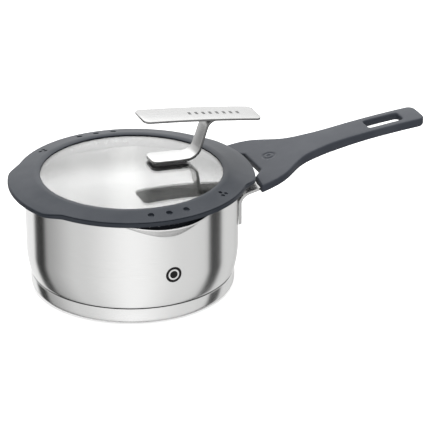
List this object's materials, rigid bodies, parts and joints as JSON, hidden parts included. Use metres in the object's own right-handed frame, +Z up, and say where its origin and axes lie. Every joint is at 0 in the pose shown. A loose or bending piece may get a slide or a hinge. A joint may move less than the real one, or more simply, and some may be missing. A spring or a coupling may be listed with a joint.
{
  "type": "saucepan with glass lid",
  "caption": "Stainless saucepan with pouring spouts, a forked long handle and a glass straining lid with a silicone rim and a bent strip knob.",
  "frame": {"origin": "centre of the flat face of the base that rests on the table or hob, on the pan's axis", "axes": "+Z up along the pan's axis, +X along the long handle away from the pan, +Y completes the right-hand frame and points through one pouring spout"},
  "size_m": [0.334, 0.1846, 0.135],
  "materials": {
    "pan_steel": "fine horizontal brushing, satin",
    "core_aluminium": "plain",
    "base_steel": "fine turned satin",
    "bracket_steel": "satin",
    "core_nylon": "matte",
    "handle_silicone": "fine matte, slate grey",
    "insert_brass": "machined",
    "fastener_steel": "plain",
    "plug_silicone": "matte",
    "glass": "clear, polished",
    "rim_silicone": "satin matte, slate grey",
    "strip_steel": "satin, brushed lengthways",
    "plate_steel": "satin, brushed lengthways",
    "gasket_silicone": "matte",
    "bush_nylon": "matte"
  },
  "bodies": {
    "pan": {"pan_shell": "pan_steel", "core_disc": "core_aluminium", "base_cap": "base_steel", "handle_bracket": "bracket_steel", "handle_core": "core_nylon", "handle_sleeve": "handle_silicone", "handle_inserts": "insert_brass", "handle_screws": "fastener_steel", "screw_plugs": "plug_silicone"},
    "lid": {"lid_glass": "glass", "lid_rim": "rim_silicone", "knob_strip": "strip_steel", "knob_plate": "plate_steel", "foot_gasket": "gasket_silicone", "knob_studs": "fastener_steel", "stud_sleeves": "bush_nylon", "lower_gasket": "gasket_silicone", "lid_washers": "fastener_steel", "cap_nuts": "fastener_steel"}
  },
  "joints": [
    {"name": "lid_lift", "type": "slide", "parent": "pan", "child": "lid", "axis": [0, 0, 1], "range_m": [0, 0.12]}
  ]
}
